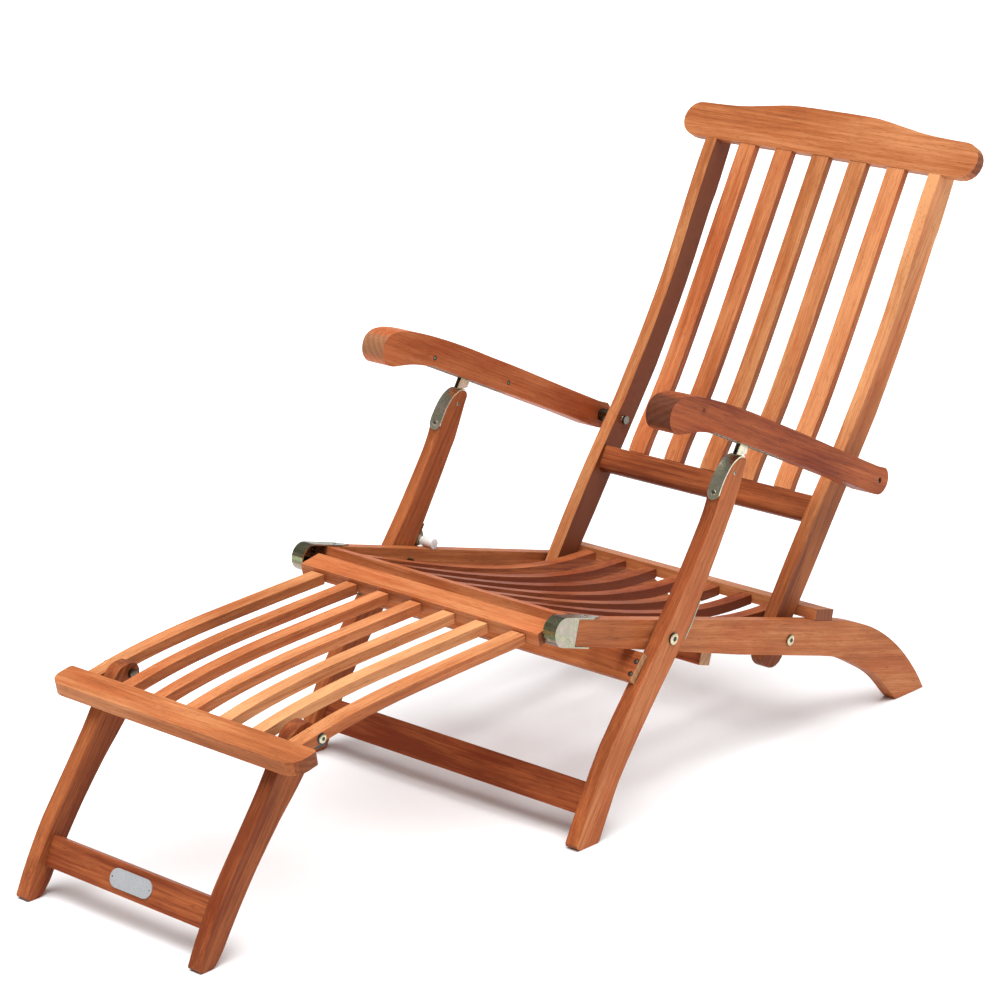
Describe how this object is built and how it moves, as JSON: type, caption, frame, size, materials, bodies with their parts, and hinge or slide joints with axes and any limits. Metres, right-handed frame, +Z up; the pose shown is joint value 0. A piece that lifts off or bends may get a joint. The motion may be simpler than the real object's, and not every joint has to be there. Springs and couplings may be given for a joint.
{
  "type": "folding deck chair",
  "caption": "Slatted hardwood deck chair with curved armrests, reclining back, folding front legs and a hinged footrest on its own folding legs.",
  "frame": {"origin": "centre of the footprint at floor level, chair opened with the footrest out and standing on all six feet", "axes": "+Z up, -Y the way the sitter faces, +X the sitter's left"},
  "size_m": [0.57, 1.5318, 0.8525],
  "materials": {
    "side_rail_left": "oiled reddish-brown hardwood, satin",
    "side_rail_right": "oiled reddish-brown hardwood, satin",
    "seat_front_rail": "oiled reddish-brown hardwood, satin",
    "seat_rear_rail": "oiled reddish-brown hardwood, satin",
    "seat_batten": "oiled reddish-brown hardwood, satin",
    "seat_slat_1": "oiled reddish-brown hardwood, satin",
    "seat_slat_2": "oiled reddish-brown hardwood, satin",
    "seat_slat_3": "oiled reddish-brown hardwood, satin",
    "seat_slat_4": "oiled reddish-brown hardwood, satin",
    "seat_slat_5": "oiled reddish-brown hardwood, satin",
    "seat_slat_6": "oiled reddish-brown hardwood, satin",
    "seat_slat_7": "oiled reddish-brown hardwood, satin",
    "rail_cup_left": "zinc plated with a pale yellow passivation, satin",
    "rail_cup_right": "zinc plated with a pale yellow passivation, satin",
    "leg_pivot_bolt_left": "zinc plated steel, satin",
    "leg_pivot_bolt_right": "zinc plated steel, satin",
    "back_pivot_bolt_left": "zinc plated steel, satin",
    "back_pivot_bolt_right": "zinc plated steel, satin",
    "front_leg_left": "oiled reddish-brown hardwood, satin",
    "front_leg_right": "oiled reddish-brown hardwood, satin",
    "leg_stop_bar": "oiled reddish-brown hardwood, satin",
    "leg_stretcher": "oiled reddish-brown hardwood, satin",
    "leg_head_left": "zinc plated with a pale yellow passivation, satin",
    "leg_head_right": "zinc plated with a pale yellow passivation, satin",
    "stop_bracket_left": "zinc plated with a pale yellow passivation, satin",
    "stop_bracket_right": "zinc plated with a pale yellow passivation, satin",
    "stop_sleeve_left": "white moulded plastic",
    "stop_sleeve_right": "white moulded plastic",
    "back_stile_left": "oiled reddish-brown hardwood, satin",
    "back_stile_right": "oiled reddish-brown hardwood, satin",
    "back_slat_1": "oiled reddish-brown hardwood, satin",
    "back_slat_2": "oiled reddish-brown hardwood, satin",
    "back_slat_3": "oiled reddish-brown hardwood, satin",
    "back_slat_4": "oiled reddish-brown hardwood, satin",
    "back_slat_5": "oiled reddish-brown hardwood, satin",
    "back_lower_rail": "oiled reddish-brown hardwood, satin",
    "crest_rail": "oiled reddish-brown hardwood, satin",
    "armrest_bolt_left": "zinc plated steel, satin",
    "armrest_bolt_right": "zinc plated steel, satin",
    "armrest_left": "oiled reddish-brown hardwood, satin",
    "armrest_channel_left": "zinc plated with a pale yellow passivation, satin",
    "armrest_right": "oiled reddish-brown hardwood, satin",
    "armrest_channel_right": "zinc plated with a pale yellow passivation, satin",
    "footrest_rear_rail": "oiled reddish-brown hardwood, satin",
    "footrest_slat_1": "oiled reddish-brown hardwood, satin",
    "footrest_slat_2": "oiled reddish-brown hardwood, satin",
    "footrest_slat_3": "oiled reddish-brown hardwood, satin",
    "footrest_slat_4": "oiled reddish-brown hardwood, satin",
    "footrest_slat_5": "oiled reddish-brown hardwood, satin",
    "footrest_slat_6": "oiled reddish-brown hardwood, satin",
    "footrest_slat_7": "oiled reddish-brown hardwood, satin",
    "footrest_board": "oiled reddish-brown hardwood, satin",
    "footrest_pin_left": "zinc plated steel, satin",
    "footrest_pin_right": "zinc plated steel, satin",
    "footrest_leg_bolt_left": "zinc plated steel, satin",
    "footrest_leg_bolt_right": "zinc plated steel, satin",
    "footrest_leg_left": "oiled reddish-brown hardwood, satin",
    "footrest_leg_right": "oiled reddish-brown hardwood, satin",
    "footrest_stretcher": "oiled reddish-brown hardwood, satin",
    "footrest_badge": "satin, plain"
  },
  "bodies": {
    "seat_frame": {"side_rail_left": "side_rail_left", "side_rail_right": "side_rail_right", "seat_front_rail": "seat_front_rail", "seat_rear_rail": "seat_rear_rail", "seat_batten": "seat_batten", "seat_slat_1": "seat_slat_1", "seat_slat_2": "seat_slat_2", "seat_slat_3": "seat_slat_3", "seat_slat_4": "seat_slat_4", "seat_slat_5": "seat_slat_5", "seat_slat_6": "seat_slat_6", "seat_slat_7": "seat_slat_7", "rail_cup_left": "rail_cup_left", "rail_cup_right": "rail_cup_right", "leg_pivot_bolt_left": "leg_pivot_bolt_left", "leg_pivot_bolt_right": "leg_pivot_bolt_right"},
    "back_hinge": {"back_pivot_bolt_left": "back_pivot_bolt_left", "back_pivot_bolt_right": "back_pivot_bolt_right"},
    "front_legs": {"front_leg_left": "front_leg_left", "front_leg_right": "front_leg_right", "leg_stop_bar": "leg_stop_bar", "leg_stretcher": "leg_stretcher", "leg_head_left": "leg_head_left", "leg_head_right": "leg_head_right", "stop_bracket_left": "stop_bracket_left", "stop_bracket_right": "stop_bracket_right", "stop_sleeve_left": "stop_sleeve_left", "stop_sleeve_right": "stop_sleeve_right"},
    "backrest": {"back_stile_left": "back_stile_left", "back_stile_right": "back_stile_right", "back_slat_1": "back_slat_1", "back_slat_2": "back_slat_2", "back_slat_3": "back_slat_3", "back_slat_4": "back_slat_4", "back_slat_5": "back_slat_5", "back_lower_rail": "back_lower_rail", "crest_rail": "crest_rail"},
    "arm_hinge": {"armrest_bolt_left": "armrest_bolt_left", "armrest_bolt_right": "armrest_bolt_right"},
    "armrest_left": {"armrest_left": "armrest_left", "armrest_channel_left": "armrest_channel_left"},
    "armrest_right": {"armrest_right": "armrest_right", "armrest_channel_right": "armrest_channel_right"},
    "footrest": {"footrest_rear_rail": "footrest_rear_rail", "footrest_slat_1": "footrest_slat_1", "footrest_slat_2": "footrest_slat_2", "footrest_slat_3": "footrest_slat_3", "footrest_slat_4": "footrest_slat_4", "footrest_slat_5": "footrest_slat_5", "footrest_slat_6": "footrest_slat_6", "footrest_slat_7": "footrest_slat_7", "footrest_board": "footrest_board", "footrest_pin_left": "footrest_pin_left", "footrest_pin_right": "footrest_pin_right", "footrest_leg_bolt_left": "footrest_leg_bolt_left", "footrest_leg_bolt_right": "footrest_leg_bolt_right"},
    "footrest_legs": {"footrest_leg_left": "footrest_leg_left", "footrest_leg_right": "footrest_leg_right", "footrest_stretcher": "footrest_stretcher", "footrest_badge": "footrest_badge"}
  },
  "joints": [
    {"name": "back_fold", "type": "hinge", "parent": "seat_frame", "child": "back_hinge", "pos_m": [0, 0.3431, 0.1684], "axis": [1, 0, 0], "range_deg": [0, 90]},
    {"name": "back_recline", "type": "hinge", "parent": "back_hinge", "child": "backrest", "pos_m": [0, 0.3431, 0.1684], "axis": [1, 0, 0], "range_deg": [-8, 3]},
    {"name": "leg_fold", "type": "hinge", "parent": "seat_frame", "child": "front_legs", "pos_m": [0, 0.0411, 0.2556], "axis": [1, 0, 0], "range_deg": [0, 92.7]},
    {"name": "arm_fold", "type": "hinge", "parent": "backrest", "child": "arm_hinge", "pos_m": [0, 0.4991, 0.3826], "axis": [1, 0, 0], "range_deg": [-87.3, 0]},
    {"name": "armrest_left_turn", "type": "hinge", "parent": "arm_hinge", "child": "armrest_left", "pos_m": [0, 0.4991, 0.3826], "axis": [1, 0, 0], "range_deg": [-2.31, 6.16]},
    {"name": "armrest_right_turn", "type": "hinge", "parent": "arm_hinge", "child": "armrest_right", "pos_m": [0, 0.4991, 0.3826], "axis": [1, 0, 0], "range_deg": [-2.31, 6.16]},
    {"name": "footrest_hinge", "type": "hinge", "parent": "seat_frame", "child": "footrest", "pos_m": [0, -0.1579, 0.3055], "axis": [1, 0, 0], "range_deg": [-10, 70]},
    {"name": "footrest_leg_fold", "type": "hinge", "parent": "footrest", "child": "footrest_legs", "pos_m": [0, -0.5714, 0.2668], "axis": [1, 0, 0], "range_deg": [0, 120]}
  ],
  "couplings": [
    {"joint": "leg_fold", "follows": "back_fold", "ratio": 1.03},
    {"joint": "arm_fold", "follows": "back_fold", "ratio": -0.97},
    {"joint": "armrest_left_turn", "follows": "back_recline", "ratio": -0.77},
    {"joint": "armrest_right_turn", "follows": "back_recline", "ratio": -0.77}
  ]
}
